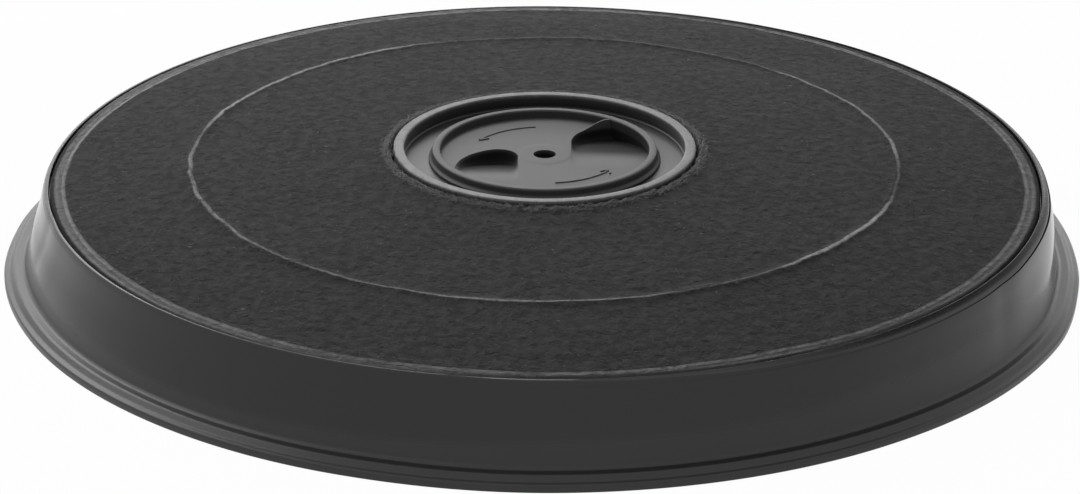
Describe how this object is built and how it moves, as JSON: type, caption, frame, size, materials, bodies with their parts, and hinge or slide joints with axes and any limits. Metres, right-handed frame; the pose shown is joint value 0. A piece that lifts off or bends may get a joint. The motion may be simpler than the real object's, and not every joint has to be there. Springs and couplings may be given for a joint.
{
  "type": "cooker hood carbon filter",
  "caption": "Round cooker hood carbon filter: flanged black casing with a conical felt face over carbon granules, a grille below and a turning finger cap in its hub.",
  "frame": {"origin": "centre of the seating face of the flange, on the hub's axis", "axes": "+Z along the hub's axis, from the seating face towards the felt face and the finger cap; the bridge between the cap's two finger scoops runs along Y"},
  "size_m": [0.24, 0.24, 0.0263],
  "materials": {
    "casing": "black moulded plastic, satin",
    "cap": "black moulded plastic, satin",
    "felt": "needle-punched black nonwoven",
    "base_felt": "needle-punched black nonwoven",
    "carbon": "activated carbon granules"
  },
  "bodies": {
    "filter": {"casing": "casing", "top_felt": "felt", "base_felt_outer": "base_felt", "base_felt_inner": "base_felt", "carbon_bed_outer": "carbon", "carbon_bed_inner": "carbon"},
    "lock": {"lock_cap": "cap"}
  },
  "joints": [
    {"name": "lock_turn", "type": "hinge", "parent": "filter", "child": "lock", "pos_m": [0, 0, 0.015], "axis": [0, 0, 1], "range_deg": [0, 60]}
  ]
}
